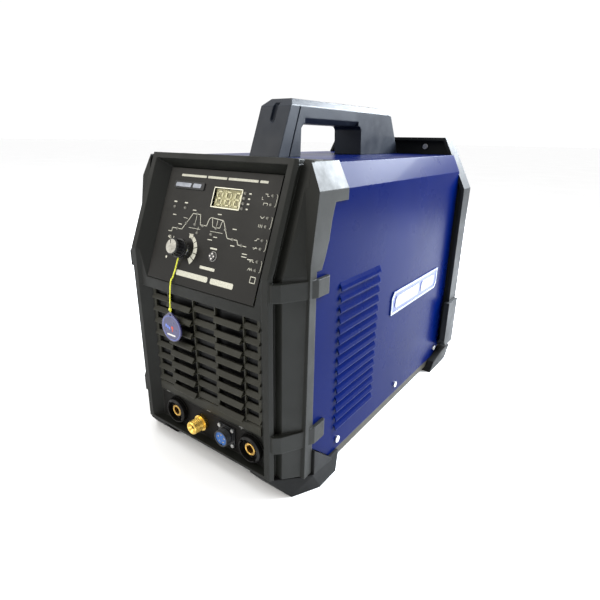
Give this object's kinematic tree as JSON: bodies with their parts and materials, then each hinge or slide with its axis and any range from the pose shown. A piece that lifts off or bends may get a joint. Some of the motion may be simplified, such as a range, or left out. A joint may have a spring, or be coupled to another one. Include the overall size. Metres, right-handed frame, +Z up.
{
  "type": "tig welding machine",
  "caption": "Inverter TIG welding machine: black moulded front and rear, blue louvred steel cover, leaning control panel, grille, carry handle and front power, gas and control sockets",
  "frame": {"origin": "on the floor under the centre of the machine's box", "axes": "+X right seen from the front, -Y the front with the sockets, +Y the rear with the fan, +Z up"},
  "size_m": [0.27, 0.471, 0.3965],
  "materials": {
    "bezel_plastic": "black moulded plastic with a fine grain",
    "grille_plastic": "black moulded plastic, fine grain",
    "frame_plastic": "black moulded plastic with a fine grain",
    "boot_plastic": "darker impact-resistant plastic",
    "handle_plastic": "grained grip plastic",
    "core_plastic": "plain black plastic",
    "socket_plate": "flat black plate",
    "panel_film": "printed dark grey film on a steel plate",
    "window_smoke": "smoked clear window",
    "display": "unlit seven-segment display, cream segments",
    "lamp_lens": "frosted clear indicator lenses",
    "badge_metal": "brushed badge plate",
    "small_badge": "brushed strip",
    "pcb": "green circuit board",
    "encoder_metal": "bright plated steel",
    "knob_plastic": "black knob plastic",
    "knob_cap": "spun aluminium cap",
    "button_plastic": "light grey key",
    "socket_shell": "black phenolic shell",
    "brass": "turned brass",
    "socket_metal": "nickel-plated alloy",
    "insert_blue": "blue socket insert",
    "gold_pins": "gold-plated pins",
    "zinc_steel": "zinc-plated screws",
    "cover_paint": "deep blue gloss powder coat",
    "tray_paint": "dark grey painted sheet",
    "rear_paint": "black painted sheet",
    "fan_plastic": "black fan plastic",
    "switch_black": "black switch housing",
    "switch_red": "red translucent rocker",
    "hose_rubber": "black gas hose",
    "sink_alloy": "extruded heat sink",
    "device_epoxy": "black epoxy packages",
    "capacitor_sleeve": "dark blue sleeve",
    "ferrite": "dark ferrite",
    "winding": "varnished copper winding",
    "copper": "bare copper bar",
    "tag_plastic": "violet blue plastic tag",
    "string": "yellow cotton string"
  },
  "bodies": {
    "case": {"front_bezel": "bezel_plastic", "front_boots": "boot_plastic", "front_grille": "grille_plastic", "connector_plate": "socket_plate", "control_plate": "panel_film", "display_window": "window_smoke", "display_module": "display", "panel_lamps": "lamp_lens", "panel_badge": "small_badge", "control_board": "pcb", "encoder_body": "encoder_metal", "socket_shell_left": "socket_shell", "socket_shell_right": "socket_shell", "socket_insert_left": "brass", "socket_insert_right": "brass", "socket_nuts": "brass", "gas_outlet": "brass", "gas_outlet_nut": "brass", "control_socket": "socket_metal", "control_socket_insert": "insert_blue", "control_socket_pins": "gold_pins", "control_socket_screws": "zinc_steel", "cover": "cover_paint", "side_badge_right": "badge_metal", "side_badge_left": "badge_metal", "cover_screws": "zinc_steel", "base_tray": "tray_paint", "rear_frame": "frame_plastic", "rear_boots": "boot_plastic", "rear_panel": "rear_paint", "fence_screws": "zinc_steel", "handle_shell": "handle_plastic", "handle_core": "core_plastic", "handle_screws": "zinc_steel", "fan_guard": "fan_plastic", "fan_frame": "fan_plastic", "switch_body": "switch_black", "cable_gland": "switch_black", "gas_inlet": "brass", "earth_bolt": "zinc_steel", "gas_valve": "brass", "gas_hoses": "hose_rubber", "power_board": "pcb", "heat_sinks": "sink_alloy", "power_transistors": "device_epoxy", "bus_capacitors": "capacitor_sleeve", "transformer_core": "ferrite", "transformer_coil": "winding", "output_choke": "winding", "output_busbars": "copper"},
    "knob": {"knob": "knob_plastic", "knob_cap": "knob_cap"},
    "menu_button": {"menu_button": "button_plastic"},
    "switch_rocker": {"switch_rocker": "switch_red"},
    "fan_rotor": {"fan_rotor": "fan_plastic"},
    "swing_tag": {"swing_tag": "tag_plastic", "tag_string": "string"}
  },
  "joints": [
    {"name": "knob_turn", "type": "hinge", "parent": "case", "child": "knob", "pos_m": [-0.028, -0.21504, 0.24629], "axis": [0, -0.9272, 0.3746], "continuous": true},
    {"name": "menu_press", "type": "slide", "parent": "case", "child": "menu_button", "axis": [0, 0.9272, -0.3746], "range_m": [0, 0.0008], "stiffness_N_per_m": 600},
    {"name": "mains_rocker", "type": "hinge", "parent": "case", "child": "switch_rocker", "pos_m": [-0.078, 0.201, 0.29], "axis": [1, 0, 0], "range_deg": [-18, 0]},
    {"name": "fan_spin", "type": "hinge", "parent": "case", "child": "fan_rotor", "pos_m": [0, 0.1825, 0.178], "axis": [0, 1, 0], "continuous": true},
    {"name": "tag_swing", "type": "hinge", "parent": "case", "child": "swing_tag", "pos_m": [-0.028, -0.21504, 0.24629], "axis": [0, 1, 0], "range_deg": [-15, 15]}
  ]
}
